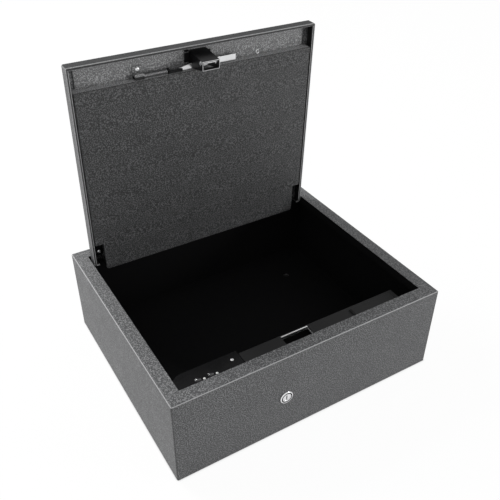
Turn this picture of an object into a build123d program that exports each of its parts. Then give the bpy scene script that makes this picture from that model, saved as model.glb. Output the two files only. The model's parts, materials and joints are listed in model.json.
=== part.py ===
from build123d import *
import os
from math import cos, radians, sin, sqrt, tau

# Origin: bottom centre of the box. +X right, +Y towards the hinges, +Z up. Millimetres.
# The lid is stored open. Its pieces are drawn closed and turned about the hinge axis at the end.
# On the lid, "along" is the distance from its rear edge and "deep" the distance below its top skin.

# Box
box_width = 350.0
box_depth = 294.0
box_height = 114.0
box_sheet = 2.0
box_edge_radius = 1.6
rim_width = 16.5
rim_lip_drop = 11.5
floor_hole_radius = 4.0
floor_hole_pitch_x = 240.0
floor_hole_pitch_y = 150.0
floor_hole_centre_y = 15.0

# Lid
lid_side_gap = 2.5
lid_end_gap = 1.2
lid_depth = 14.0
lid_sheet = 1.5
lid_hem = 3.0
lid_edge_radius = 2.0
lid_open_angle = 87.6
inner_panel_sheet = 1.2
inner_panel_side_gap = 1.8
inner_panel_front_inset = 29.1
tongue_side_inset = 15.0
tongue_start_along = 30.0
tongue_overhang = 10.0
tongue_corner_radius = 4.0

# Hinges
pivot_setback = 4.5
pivot_drop = 3.0
knuckle_radius = 2.7
hinge_pin_radius = 1.3
hinge_side_inset = 14.4
hinge_width = 7.4
box_knuckle_width = 2.2
lid_leaf_sheet = 1.8
lid_leaf_width = 11.0
lid_leaf_length = 22.0
hinge_neck_length = 8.0
box_leaf_sheet = 1.4
hinge_rivet_along = 12.8
hinge_rivet_radius = 2.6
hinge_rivet_height = 1.3

# Lock compartment along the front wall
cover_drop = 19.0
cover_depth = 46.5
side_pocket_width = 28.5
cover_wall = 2.0
cover_edge_radius = 1.0
panel_depth = 51.5
panel_side_gap = 16.0
panel_width = 85.0
panel_corner_radius = 18.0
panel_thickness = 3.5
panel_rise = 0.5
panel_bevel = 0.8
panel_overhang = 1.0

# Buttons and lamps on the control panel
button_inset = 29.1
button_pitch = 15.2
button_setback = 33.8
button_radius = 3.3
button_dome = 1.3
button_travel = 0.8
button_flange = 0.8
button_flange_extra = 0.9
button_stem_radius = 1.6
lamp_offset_x = 6.6
lamp_offset_y = -1.9
lamp_radius = 1.5
board_thickness = 1.6
board_drop = 6.4
switch_size = 6.0
switch_height = 3.5
switch_plunger_radius = 1.75
board_boss_radius = 2.5
board_edge = 3.0

# Batteries
battery_radius = 7.1
battery_length = 50.0
battery_nub_radius = 2.7
battery_nub = 1.2
battery_play = 0.4
tray_wall = 1.5
tray_centre_inset = 36.5
tray_front_gap = 3.0
door_half_width = 30.0
door_thickness = 1.5
door_far_margin = 5.0
door_hidden_front = 4.0
door_ledge = 4.0
door_rail = 1.0

# Striker on the lid
strike_width = 21.5
strike_sheet = 1.2
strike_deep = 37.0
strike_base_front_inset = 8.6
strike_base_rear_inset = 28.8
strike_end_front_inset = 11.6
strike_end_rear_inset = 21.9
strike_foot = 6.0
strike_end_strip = 7.0
strike_pin_radius = 1.5
strike_pin_inset = 14.3
strike_pin_deep = 33.0
strike_pin_head_radius = 2.3
strike_pin_head = 1.0
mounting_plate_sheet = 1.5
mounting_plate_side_inset = 10.0
mounting_plate_front_inset = 5.6

# Slot for the striker
slot_half_width = 18.0
slot_front_margin = 22.5
slot_rear_margin = 1.7
catch_sheet = 2.0
catch_upright_sheet = 1.6
catch_proud = 0.6
catch_margin = 8.0

# Keeper bar, link, spring and anchor on the lid
bar_sheet = 1.5
bar_deep = 8.5
bar_rear_inset = 27.6
bar_width = 7.0
bar_right_x = 47.0
bar_crank_x = -6.0
bar_left_x = -26.0
bar_end_rear_inset = 28.7
bar_end_width = 4.0
bar_travel = 6.0
link_left_x = -38.5
link_width = 3.0
link_eye_radius = 2.4
link_rivet_radius = 1.0
spring_wire_radius = 0.5
spring_mean_radius = 2.2
spring_length = 28.5
spring_curls = 8
spring_lead = 1.6
spring_inset = 26.0
spring_deep = 8.5
anchor_width = 11.0
anchor_length = 6.5
anchor_foot = 7.0
anchor_foot_sheet = 1.6
anchor_screw_radius = 2.6
anchor_screw_height = 1.8
anchor_offset = 0.3
side_screw_inset = 7.4
side_screw_gap = 3.4
side_screw_radius = 3.0
side_screw_height = 3.2

# Latch slide with its bolt
latch_throw = 12.0
bolt_tip_gap = 1.25
bolt_length = 12.0
bolt_width = 5.3
bolt_height = 3.5
bolt_over_pin = 1.5
bolt_behind_pin = 4.8
bolt_block_width = 20.0
bolt_block_below = 5.0
bolt_block_above = 2.5
slide_sheet = 2.5
slide_left_x = -50.0
slide_above_lock = 2.5
slide_above_guide = 7.0
guide_xs = (-10.0, 34.0)
guide_above_lock = 17.5
guide_pin_radius = 2.5
guide_head_radius = 4.5
guide_head = 1.4
latch_frame_setback = 23.5
latch_frame_sheet = 2.0
latch_frame_half_width = 62.0
latch_frame_above_guide = 3.0
latch_frame_foot = 17.0

# Key lock, cam and gearmotor
lock_x = -39.6
lock_drop = 60.5
bezel_radius = 8.25
bezel_proud = 2.0
barrel_radius = 7.0
barrel_length = 17.6
plug_radius = 4.5
plug_recess = 0.5
plug_tail_radius = 3.0
bezel_groove_outer = 6.9
bezel_groove_inner = 5.4
bezel_groove_deep = 1.2
keyway_width = 1.3
keyway_height = 6.2
keyway_deep = 8.0
nut_across_flats = 19.0
nut_thickness = 3.5
arm_sheet = 2.0
arm_hub_radius = 5.5
arm_end_radius = 3.2
arm_pin_radius = 2.0
arm_turn = 90.0
cam_screw_radius = 3.2
cam_screw_head = 1.2
motor_x = 20.0
motor_shaft_radius = 2.0
gearbox_size = 16.0
gearbox_depth = 12.0
gearbox_bore = 8.0
motor_can_radius = 5.5
motor_can_length = 20.0

# Fingerprint reader on the lid's outer face
reader_inset = 53.6
reader_width = 46.0
reader_height = 32.0
reader_corner = 10.0
reader_proud = 2.6
reader_window_width = 20.0
reader_window_height = 15.0
reader_window_recess = 1.0
reader_board_margin = 4.0

# Clearances
moving_gap = 0.3
running_gap = 0.05
seat_gap = 0.1
pin_slot_play = 0.6

# Places worked out from the sizes above
half_width = box_width / 2
half_depth = box_depth / 2
inner_half_x = half_width - box_sheet
inner_half_y = half_depth - box_sheet
opening_half_x = half_width - rim_width
opening_half_y = half_depth - rim_width
front_inside_y = -inner_half_y
pivot_y = opening_half_y - pivot_setback
pivot_z = box_height - pivot_drop
lid_half_x = opening_half_x - lid_side_gap
lid_half_y = opening_half_y - lid_end_gap
lid_length = 2 * lid_half_y
inner_panel_half_x = lid_half_x - lid_hem - inner_panel_side_gap
inner_panel_front_along = lid_length - inner_panel_front_inset
tongue_half_width = lid_half_x - tongue_side_inset
mounting_plate_half_width = lid_half_x - mounting_plate_side_inset
mounting_plate_front = lid_length - mounting_plate_front_inset
pivot_along = lid_half_y - pivot_y
hinge_inner_x = lid_half_x - hinge_side_inset
hinge_outer_x = hinge_inner_x + hinge_width
hinge_centre_x = hinge_inner_x + hinge_width / 2
cover_top_z = box_height - cover_drop
cover_right_x = inner_half_x - side_pocket_width
cover_rear_y = front_inside_y + cover_depth
panel_rear_y = front_inside_y + panel_depth
panel_left_x = -inner_half_x + panel_side_gap
panel_right_x = panel_left_x + panel_width
button_xs = (panel_left_x + button_inset, panel_left_x + button_inset + button_pitch)
button_y = front_inside_y + button_setback
panel_top_z = cover_top_z + panel_rise
panel_seat_z = panel_top_z - panel_thickness
board_top_z = panel_seat_z - cover_wall - board_drop
slot_front_y = front_inside_y + slot_front_margin
slot_rear_y = cover_rear_y - cover_wall - catch_upright_sheet - seat_gap
tray_centre_x = cover_right_x - tray_centre_inset
door_left_x = tray_centre_x - door_half_width
door_right_x = tray_centre_x + door_half_width
door_front_y = front_inside_y + door_hidden_front
door_rear_y = cover_rear_y - door_far_margin
mounting_plate_deep = lid_sheet + mounting_plate_sheet
strike_base_front = lid_length - strike_base_front_inset
strike_base_rear = lid_length - strike_base_rear_inset
strike_end_front = lid_length - strike_end_front_inset
strike_end_rear = lid_length - strike_end_rear_inset
strike_pin_along = lid_length - strike_pin_inset
strike_pin_y = lid_half_y - strike_pin_along
bar_rear = lid_length - bar_rear_inset
bar_end_rear = lid_length - bar_end_rear_inset
spring_along = lid_length - spring_inset
side_screw_along = lid_length - side_screw_inset
reader_along = lid_length - reader_inset
lock_z = box_height - lock_drop
guide_z = lock_z + guide_above_lock
bolt_tip_x = strike_width / 2 + bolt_tip_gap
bolt_base_z = box_height - strike_pin_deep + strike_pin_radius + bolt_over_pin
bolt_rear_y = strike_pin_y + bolt_behind_pin
bolt_block_low_z = bolt_base_z - bolt_block_below
bolt_block_high_z = bolt_base_z + bolt_height + bolt_block_above
slide_low_z = lock_z + slide_above_lock
slide_high_z = guide_z + slide_above_guide
latch_frame_top_z = guide_z + latch_frame_above_guide
latch_frame_front_y = front_inside_y + latch_frame_setback
slide_rear_y = latch_frame_front_y - moving_gap
slide_front_y = slide_rear_y - slide_sheet
arm_radius = latch_throw / sqrt(2)
arm_pin_end_y = latch_frame_front_y - moving_gap - seat_gap
barrel_end_y = -half_depth + barrel_length
cam_front_y = barrel_end_y + 0.8
cam_rear_y = cam_front_y + arm_sheet
crank_rear_y = slide_front_y - 0.5
crank_front_y = crank_rear_y - arm_sheet
spring_right_x = link_left_x - link_eye_radius
spring_left_x = spring_right_x - spring_length
spring_pitch = spring_length / spring_curls


def block(x0, x1, y0, y1, z0, z1):
    """A box between two opposite corners."""
    return Pos((x0 + x1) / 2, (y0 + y1) / 2, (z0 + z1) / 2) * Box(x1 - x0, y1 - y0, z1 - z0)


def rod_x(radius, x0, x1, y, z):
    """A cylinder along X."""
    return Pos((x0 + x1) / 2, y, z) * Rot(0, 90, 0) * Cylinder(radius, x1 - x0)


def rod_y(radius, y0, y1, x, z):
    """A cylinder along Y."""
    return Pos(x, (y0 + y1) / 2, z) * Rot(90, 0, 0) * Cylinder(radius, y1 - y0)


def rod_z(radius, z0, z1, x, y):
    """A cylinder along Z."""
    return Pos(x, y, (z0 + z1) / 2) * Cylinder(radius, z1 - z0)


def side_plate(points, x0, x1):
    """A plate between x0 and x1 whose outline is given as (y, z) points."""
    outline = Plane.YZ * make_face(Polyline(*points, close=True))
    return Pos(x0, 0, 0) * extrude(outline, x1 - x0)


def mirrored(shape):
    """The same shape on the other side of the middle plane."""
    return mirror(shape, about=Plane.YZ)


def lid_y(along):
    """Closed y of a place on the lid."""
    return lid_half_y - along


def lid_z(deep):
    """Closed z of a place on the lid."""
    return box_height - deep


def lid_block(x0, x1, along0, along1, deep0, deep1):
    """A box on the closed lid."""
    return block(x0, x1, lid_y(along1), lid_y(along0), lid_z(deep1), lid_z(deep0))


def opened(shape):
    """The lid piece turned to its stored, open place."""
    return Pos(0, pivot_y, pivot_z) * Rot(-lid_open_angle, 0, 0) * Pos(0, -pivot_y, -pivot_z) * shape


def box_shell():
    """Sheet box with a wide rim turned in and its lip turned down."""
    body = block(-half_width, half_width, -half_depth, half_depth, 0, box_height)
    outer_edges = body.edges().filter_by(Axis.Z) + body.edges().group_by(Axis.Z)[-1]
    body = fillet(outer_edges, box_edge_radius)
    body -= block(-inner_half_x, inner_half_x, -inner_half_y, inner_half_y, box_sheet, box_height - box_sheet)
    lip_x = opening_half_x + box_sheet
    lip_y = opening_half_y + box_sheet
    body += block(-lip_x, lip_x, -lip_y, lip_y, box_height - rim_lip_drop, box_height - box_sheet)
    body -= block(-opening_half_x, opening_half_x, -opening_half_y, opening_half_y, box_sheet, box_height + 1)
    for x in (-floor_hole_pitch_x / 2, floor_hole_pitch_x / 2):
        for y in (-floor_hole_pitch_y / 2, floor_hole_pitch_y / 2):
            body -= rod_z(floor_hole_radius, -1, box_sheet + 1, x, floor_hole_centre_y + y)
    body -= rod_y(barrel_radius + seat_gap, -half_depth - 1, front_inside_y + 1, lock_x, lock_z)
    return body


def cover_outline(shrink, rear_y, left_x, right_x, top_z):
    """Solid block of one half of the lock cover, or of its hollow when shrink is the wall."""
    solid = block(left_x + shrink, right_x - shrink, front_inside_y, rear_y - shrink, box_sheet, top_z - shrink)
    return solid


def lock_cover():
    """Moulded housing over the lock, with its raised deck for the control panel."""
    deck_rear_y = panel_rear_y - panel_overhang
    main = cover_outline(0, cover_rear_y, panel_right_x, cover_right_x, cover_top_z)
    main = fillet(main.edges().filter_by(Axis.X).group_by(Axis.Z)[-1].sort_by(Axis.Y)[-1], cover_edge_radius)
    deck = cover_outline(0, deck_rear_y, panel_left_x, panel_right_x, panel_seat_z)
    deck = fillet(deck.edges().filter_by(Axis.Z).group_by(Axis.Y)[-1].sort_by(Axis.X)[0], panel_corner_radius)
    hollow = cover_outline(cover_wall, deck_rear_y, panel_left_x, panel_right_x, panel_seat_z)
    corner = hollow.edges().filter_by(Axis.Z).group_by(Axis.Y)[-1].sort_by(Axis.X)[0]
    hollow = fillet(corner, panel_corner_radius - cover_wall)
    body = main + deck - hollow
    body -= cover_outline(cover_wall, cover_rear_y, panel_right_x, cover_right_x, cover_top_z)
    body -= block(panel_right_x - 2 * cover_wall, panel_right_x + 2 * cover_wall, front_inside_y,
                  cover_rear_y - cover_wall, box_sheet, panel_seat_z - cover_wall)
    body -= block(-slot_half_width - 2 * moving_gap, slot_half_width + 2 * moving_gap, slot_front_y,
                  cover_rear_y - cover_wall, cover_top_z - 2 * cover_wall, cover_top_z + 1)
    body -= block(door_left_x + door_ledge, door_right_x - door_ledge, door_front_y + door_ledge / 2,
                  door_rear_y - door_ledge, cover_top_z - 2 * cover_wall, cover_top_z + 1)
    for x in (door_left_x - moving_gap - door_rail, door_right_x + moving_gap):
        body += block(x, x + door_rail, front_inside_y, door_rear_y, cover_top_z, cover_top_z + door_thickness)
    for x in button_xs:
        body -= rod_z(button_stem_radius + moving_gap, board_top_z, panel_top_z, x, button_y)
        body -= rod_z(lamp_radius + seat_gap, board_top_z, panel_top_z, x + lamp_offset_x, button_y + lamp_offset_y)
    for x, y in board_boss_places():
        body += rod_z(board_boss_radius, board_top_z, panel_seat_z - cover_wall, x, y)
    return body


def board_extent():
    """Left, right, front and rear edge of the control board."""
    left = panel_left_x + cover_wall + board_edge
    right = panel_right_x - 2 * cover_wall - board_edge
    return left, right, front_inside_y + board_edge, panel_rear_y - panel_overhang - cover_wall - board_edge


def board_boss_places():
    """The bosses that carry the control board, clear of the rounded corner."""
    left, right, front, rear = board_extent()
    inset = board_boss_radius + 1
    return [(left + inset, front + inset), (right - inset, front + inset),
            (left + panel_corner_radius, rear - inset), (right - inset, rear - inset)]


def control_panel():
    """Gloss panel on the deck, bevelled, with holes for the buttons and lamps."""
    plate = block(panel_left_x, panel_right_x - moving_gap, front_inside_y + moving_gap, panel_rear_y,
                  panel_seat_z, panel_top_z)
    corner = plate.edges().filter_by(Axis.Z).group_by(Axis.Y)[-1].sort_by(Axis.X)[0]
    plate = fillet(corner, panel_corner_radius)
    plate = chamfer(plate.faces().sort_by(Axis.Z)[-1].edges(), panel_bevel)
    pocket = button_flange + button_travel + 2 * moving_gap
    for x in button_xs:
        plate -= rod_z(button_radius + moving_gap, panel_seat_z - 1, panel_top_z + 1, x, button_y)
        plate -= rod_z(button_radius + button_flange_extra + moving_gap, panel_seat_z - 1,
                       panel_seat_z + pocket, x, button_y)
        plate -= rod_z(lamp_radius + seat_gap, panel_seat_z - 1, panel_top_z + 1,
                       x + lamp_offset_x, button_y + lamp_offset_y)
    return plate


def push_button(x):
    """Domed button with its retaining flange and the stem that reaches the switch."""
    flange_low = panel_seat_z + button_travel + moving_gap
    top = panel_top_z + button_dome
    stem_low = board_top_z + switch_height + moving_gap + button_travel
    body = rod_z(button_radius, flange_low, top, x, button_y)
    cap_radius = (button_radius ** 2 + button_dome ** 2) / (2 * button_dome)
    body &= Pos(x, button_y, top - cap_radius) * Sphere(cap_radius)
    body += rod_z(button_radius + button_flange_extra, flange_low, flange_low + button_flange, x, button_y)
    body += rod_z(button_stem_radius, stem_low, flange_low, x, button_y)
    return body


def control_board():
    """Circuit board hung under the deck, with one push switch under each button."""
    left, right, front, rear = board_extent()
    board = block(left, right, front, rear, board_top_z - board_thickness, board_top_z)
    board -= rod_z(panel_corner_radius, -box_height, box_height, left, rear) & block(
        left, left + panel_corner_radius / 3, rear - panel_corner_radius / 3, rear, 0, box_height)
    plunger = 0.7
    for x in button_xs:
        half = switch_size / 2
        board += block(x - half, x + half, button_y - half, button_y + half,
                       board_top_z, board_top_z + switch_height - plunger)
        board += rod_z(switch_plunger_radius, board_top_z, board_top_z + switch_height, x, button_y)
    return board


def status_lamps():
    """Two small lamps standing on the board and showing through the panel."""
    lamps = []
    for x in button_xs:
        lamp = rod_z(lamp_radius, board_top_z, panel_top_z + 0.6, x + lamp_offset_x, button_y + lamp_offset_y)
        lamps.append(chamfer(lamp.edges().group_by(Axis.Z)[-1], 0.4))
    return Compound(children=lamps)


def tray_extent():
    """Outer edges of the battery tray: left, right, front, rear, low."""
    half_length = battery_length / 2 + battery_nub + battery_play + tray_wall
    depth = 4 * battery_radius + 3 * battery_play + 2 * tray_wall
    front = front_inside_y + tray_front_gap
    low = cover_top_z - cover_wall - 4 * battery_radius - 4 * battery_play - tray_wall
    return tray_centre_x - half_length, tray_centre_x + half_length, front, front + depth, low


def battery_tray():
    """Open tray hung under the cover, below the battery door."""
    left, right, front, rear, low = tray_extent()
    tray = block(left, right, front, rear, low, cover_top_z - cover_wall)
    tray -= block(left + tray_wall, right - tray_wall, front + tray_wall, rear - tray_wall,
                  low + tray_wall, cover_top_z)
    return tray


def battery_cells():
    """Four cells in two layers, turned end for end in each layer."""
    left, right, front, rear, low = tray_extent()
    cells = []
    for layer in (0, 1):
        z = low + tray_wall + battery_play + battery_radius + layer * (2 * battery_radius + battery_play)
        for side in (0, 1):
            y = front + tray_wall + battery_play + battery_radius + side * (2 * battery_radius + battery_play)
            start = left + tray_wall + battery_play + (battery_nub if side else 0)
            cell = rod_x(battery_radius, start, start + battery_length, y, z)
            if side:
                cell += rod_x(battery_nub_radius, start - battery_nub, start, y, z)
            else:
                end = start + battery_length
                cell += rod_x(battery_nub_radius, end, end + battery_nub, y, z)
            cells.append(cell)
    return Compound(children=cells)


def battery_door():
    """Thin cover that slides back off the compartment between its two rails."""
    low = cover_top_z + moving_gap
    door = block(door_left_x, door_right_x, door_front_y, door_rear_y, low, low + door_thickness)
    return chamfer(door.faces().sort_by(Axis.Z)[-1].edges(), door_thickness / 3)


def catch_plate():
    """Steel plate that lines the striker's slot, its rear edge turned up through the slot."""
    under = cover_top_z - cover_wall
    rear = cover_rear_y - cover_wall - seat_gap
    plate = block(-slot_half_width - catch_margin, slot_half_width + catch_margin,
                  slot_front_y - catch_margin, rear, under - catch_sheet, under)
    plate -= block(-slot_half_width, slot_half_width, slot_front_y, rear - catch_upright_sheet,
                   under - catch_sheet - 1, under + 1)
    plate += block(-slot_half_width, slot_half_width, rear - catch_upright_sheet, rear,
                   under - catch_sheet, cover_top_z + catch_proud)
    return plate


def latch_frame():
    """Folded bracket on the floor that carries the latch slide and the gearmotor."""
    front = latch_frame_front_y
    frame = block(-latch_frame_half_width, latch_frame_half_width, front, front + latch_frame_sheet,
                  box_sheet, latch_frame_top_z)
    frame += block(-latch_frame_half_width, latch_frame_half_width, front, front + latch_frame_foot,
                   box_sheet, box_sheet + latch_frame_sheet)
    frame -= rod_y(motor_shaft_radius + moving_gap, front - 1, front + latch_frame_sheet + 1, motor_x, lock_z)
    for x in guide_xs:
        frame -= rod_y(guide_pin_radius + seat_gap, front - 1, front + latch_frame_sheet + 1, x, guide_z)
    return frame


def guide_pins():
    """Two headed pins riveted in the frame, on which the slide runs."""
    rear = latch_frame_front_y + latch_frame_sheet
    head_rear = slide_front_y - moving_gap
    pins = []
    for x in guide_xs:
        pin = rod_y(guide_pin_radius, head_rear - guide_head, rear, x, guide_z)
        pin += rod_y(guide_head_radius, head_rear - guide_head, head_rear, x, guide_z)
        pins.append(pin)
    return Compound(children=pins)


def latch_slide():
    """Sheet slide with long guide slots, two crank slots and a tab for the bolt."""
    tab_left = bolt_tip_x + bolt_length
    tab_right = tab_left + bolt_block_width
    slide = block(slide_left_x, tab_right, slide_front_y, slide_rear_y, slide_low_z, slide_high_z)
    slide += block(tab_left, tab_right, slide_front_y, slide_rear_y, slide_high_z, bolt_block_high_z)
    slot_radius = guide_pin_radius + seat_gap
    for x in guide_xs:
        slide -= rod_y(slot_radius, slide_front_y - 1, slide_rear_y + 1, x - moving_gap, guide_z)
        slide -= rod_y(slot_radius, slide_front_y - 1, slide_rear_y + 1, x + latch_throw + moving_gap, guide_z)
        slide -= block(x - moving_gap, x + latch_throw + moving_gap, slide_front_y - 1, slide_rear_y + 1,
                       guide_z - slot_radius, guide_z + slot_radius)
    half_slot = arm_pin_radius + pin_slot_play
    for x in (lock_x, motor_x):
        slide -= block(x + latch_throw / 2 - half_slot, x + latch_throw / 2 + half_slot, slide_front_y - 1,
                       slide_rear_y + 1, slide_low_z - 1, lock_z + arm_radius + arm_pin_radius + moving_gap)
    return slide


def latch_bolt():
    """Bolt whose tongue enters the striker above its pin."""
    block_left = bolt_tip_x + bolt_length
    bolt_front_y = bolt_rear_y - bolt_width
    bolt = block(block_left, block_left + bolt_block_width, slide_rear_y, bolt_rear_y + 1,
                 bolt_block_low_z, bolt_block_high_z)
    tongue = block(bolt_tip_x, block_left, bolt_front_y, bolt_rear_y, bolt_base_z, bolt_base_z + bolt_height)
    tip_edges = tongue.faces().sort_by(Axis.X)[0].edges()
    return bolt + chamfer(tip_edges, 0.8)


def drive_arm(centre_x, front_y, rear_y):
    """Arm of a crank or cam with its drive pin, at the start of its turn."""
    reach = arm_radius * sin(radians(arm_turn / 2))
    pin_x = centre_x + reach
    pin_z = lock_z + reach
    outline = make_hull((Pos(centre_x, lock_z) * Circle(arm_hub_radius)).edges()
                        + (Pos(pin_x, pin_z) * Circle(arm_end_radius)).edges())
    arm = Pos(0, rear_y, 0) * extrude(Plane.XZ * outline, rear_y - front_y)
    return arm + rod_y(arm_pin_radius, rear_y, arm_pin_end_y, pin_x, pin_z)


def key_cam():
    """Cam on the tail of the key plug, with its drive pin."""
    return drive_arm(lock_x, cam_front_y, cam_rear_y) - rod_y(
        plug_tail_radius + running_gap, cam_front_y - 1, cam_rear_y + 1, lock_x, lock_z)


def motor_crank():
    """Crank of the gearmotor, one piece with its shaft and drive pin."""
    shaft_end = latch_frame_front_y + latch_frame_sheet + gearbox_bore - moving_gap
    return drive_arm(motor_x, crank_front_y, crank_rear_y) + rod_y(
        motor_shaft_radius, crank_rear_y, shaft_end, motor_x, lock_z)


def gearmotor():
    """Right-angle gearbox on the frame with its motor can lying to the right."""
    front = latch_frame_front_y + latch_frame_sheet
    half = gearbox_size / 2
    body = block(motor_x - half, motor_x + half, front, front + gearbox_depth, lock_z - half, lock_z + half)
    body = fillet(body.edges().filter_by(Axis.Y), 1.5)
    body += rod_x(motor_can_radius, motor_x + half, motor_x + half + motor_can_length,
                  front + gearbox_depth / 2, lock_z)
    body -= rod_y(motor_shaft_radius + running_gap, front - 1, front + gearbox_bore, motor_x, lock_z)
    return body


def lock_housing():
    """Chrome bezel with a dark ring groove and the barrel behind it."""
    front = -half_depth - bezel_proud
    bezel = rod_y(bezel_radius, front, -half_depth, lock_x, lock_z)
    bezel = chamfer(bezel.edges().group_by(Axis.Y)[0], 0.7)
    body = bezel + rod_y(barrel_radius, -half_depth, barrel_end_y, lock_x, lock_z)
    body -= (rod_y(bezel_groove_outer, front - 1, front + bezel_groove_deep, lock_x, lock_z)
             - rod_y(bezel_groove_inner, front - 2, front + bezel_groove_deep + 1, lock_x, lock_z))
    return body - rod_y(plug_radius + running_gap, front - 1, barrel_end_y + 1, lock_x, lock_z)


def lock_nut():
    """Hexagon nut that holds the lock against the inside of the front wall."""
    hexagon = RegularPolygon(nut_across_flats / 2, 6, major_radius=False)
    nut = Pos(lock_x, front_inside_y + nut_thickness, lock_z) * extrude(Plane.XZ * hexagon, nut_thickness)
    return nut - rod_y(barrel_radius + seat_gap, front_inside_y - 1, front_inside_y + nut_thickness + 1,
                       lock_x, lock_z)


def key_plug():
    """Plug with its keyway and the tail that carries the cam."""
    front = -half_depth - bezel_proud + plug_recess
    plug = rod_y(plug_radius, front, cam_front_y, lock_x, lock_z)
    plug += rod_y(plug_tail_radius, cam_front_y, cam_rear_y, lock_x, lock_z)
    return plug - block(lock_x - keyway_width / 2, lock_x + keyway_width / 2, front - 1,
                        front + keyway_deep, lock_z - keyway_height / 2, lock_z + keyway_height / 2)


def cam_screw():
    """Screw head that holds the cam on the plug."""
    head = rod_y(cam_screw_radius, cam_rear_y, cam_rear_y + cam_screw_head, lock_x, lock_z)
    return chamfer(head.edges().group_by(Axis.Y)[-1], 0.4)


def lid_shell():
    """Folded lid pan, hemmed at the sides and front, notched behind for the hinges."""
    pan = lid_block(-lid_half_x, lid_half_x, 0, lid_length, 0, lid_depth)
    outer_edges = pan.edges().filter_by(Axis.Z) + pan.edges().group_by(Axis.Z)[-1]
    pan = fillet(outer_edges, lid_edge_radius)
    inner_x = lid_half_x - lid_hem
    pan -= lid_block(-inner_x, inner_x, lid_sheet, lid_length - lid_hem, lid_sheet, lid_depth + 1)
    notch = lid_block(hinge_inner_x - moving_gap, hinge_outer_x + moving_gap, -1,
                      pivot_along + knuckle_radius + 4 * moving_gap, -1, lid_depth + 1)
    pan -= notch + mirrored(notch)
    pan -= lid_block(-tongue_half_width - moving_gap, tongue_half_width + moving_gap, -1, 2 * lid_sheet,
                     lid_depth - inner_panel_sheet, lid_depth + 1)
    half_x = reader_window_width / 2 - 2
    half_y = reader_window_height / 2 - 2
    return pan - lid_block(-half_x, half_x, reader_along - half_y, reader_along + half_y, -1, lid_sheet + 1)


def lid_inner_panel():
    """Inner panel folded back to the skin at the sides and front, with its pry tongue behind."""
    top = lid_depth - inner_panel_sheet
    half_x = inner_panel_half_x
    front = inner_panel_front_along
    sheet = inner_panel_sheet
    panel = lid_block(-half_x, half_x, tongue_start_along, front, top, lid_depth)
    tongue = lid_block(-tongue_half_width, tongue_half_width, -tongue_overhang, tongue_start_along, top, lid_depth)
    tongue = fillet(tongue.edges().filter_by(Axis.Z).group_by(Axis.Y)[-1], tongue_corner_radius)
    side = lid_block(half_x - sheet, half_x, tongue_start_along, front, lid_sheet, top)
    front_fold = lid_block(-half_x, half_x, front - sheet, front, lid_sheet, top)
    return panel + tongue + side + mirrored(side) + front_fold


def latch_mounting_plate():
    """Strip inside the lid's front that carries the striker and the keeper bar."""
    return lid_block(-mounting_plate_half_width, mounting_plate_half_width,
                     inner_panel_front_along + seat_gap, mounting_plate_front, lid_sheet, mounting_plate_deep)


def strike_edge(deep, base, end):
    """Along-place of a sloping edge of the striker at one depth."""
    share = (deep - mounting_plate_deep) / (strike_deep - mounting_plate_deep)
    return base + (end - base) * share


def strike_wall(base, end, thickness, deep0, deep1, half_x):
    """Sloping wall of the striker, thickness measured towards the front."""
    points = []
    for deep, offset in ((deep0, 0), (deep1, 0), (deep1, thickness), (deep0, thickness)):
        points.append((lid_y(strike_edge(deep, base, end) + offset), lid_z(deep)))
    return side_plate(points, -half_x, half_x)


def bar_outline(grow):
    """Keeper bar seen square to the lid as (x, along) points, widened by grow."""
    rear = bar_rear - grow
    front = bar_rear + bar_width + grow
    end_rear = bar_end_rear - grow
    end_front = bar_end_rear + bar_end_width + grow
    return [(bar_left_x, end_rear), (bar_crank_x, rear), (bar_right_x, rear),
            (bar_right_x, front), (bar_crank_x, front), (bar_left_x, end_front)]


def bar_solid(grow, shift=0.0):
    """Keeper bar, or with grow the room that it needs."""
    points = [(x + shift, lid_y(along)) for x, along in bar_outline(grow)]
    face = Pos(0, 0, lid_z(bar_deep + bar_sheet + grow)) * make_face(Polyline(*points, close=True))
    return extrude(face, bar_sheet + 2 * grow)


def strike_bracket():
    """Folded striker with sloping cheeks, a closed front, an end strip and two feet."""
    outer = strike_width / 2
    inner = outer - strike_sheet
    base = mounting_plate_deep
    cheek_points = []
    for deep in (base, strike_deep):
        cheek_points.append((lid_y(strike_edge(deep, strike_base_rear, strike_end_rear)), lid_z(deep)))
    for deep in (strike_deep, base):
        cheek_points.append((lid_y(strike_edge(deep, strike_base_front, strike_end_front)), lid_z(deep)))
    body = side_plate(cheek_points, -outer, -inner) + side_plate(cheek_points, inner, outer)
    body += strike_wall(strike_base_front - strike_sheet, strike_end_front - strike_sheet, strike_sheet,
                        base, strike_deep, outer)
    body += strike_wall(strike_base_rear, strike_end_rear, strike_sheet,
                        strike_deep - strike_end_strip, strike_deep, outer)
    foot = lid_block(outer - strike_sheet, outer + strike_foot, strike_end_rear, strike_end_front,
                     base, base + strike_sheet)
    body += foot + mirrored(foot)
    for shift in (0.0, bar_travel / 2, bar_travel):
        body -= bar_solid(moving_gap, shift)
    pin_y = lid_y(strike_pin_along)
    body -= rod_x(strike_pin_radius + seat_gap / 2, -outer - 1, outer + 1, pin_y, lid_z(strike_pin_deep))
    body -= block(inner - 1, outer + 1, bolt_rear_y - bolt_width - 2 * moving_gap, bolt_rear_y + 2 * moving_gap,
                  bolt_base_z - 2 * moving_gap, bolt_base_z + bolt_height + 2 * moving_gap)
    return body


def strike_pin():
    """Cross pin of the striker with its two rivet heads."""
    outer = strike_width / 2
    y = lid_y(strike_pin_along)
    z = lid_z(strike_pin_deep)
    pin = rod_x(strike_pin_radius, -outer - strike_pin_head, outer + strike_pin_head, y, z)
    for x in (-outer - strike_pin_head, outer):
        pin += rod_x(strike_pin_head_radius, x, x + strike_pin_head, y, z)
    return pin


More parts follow.
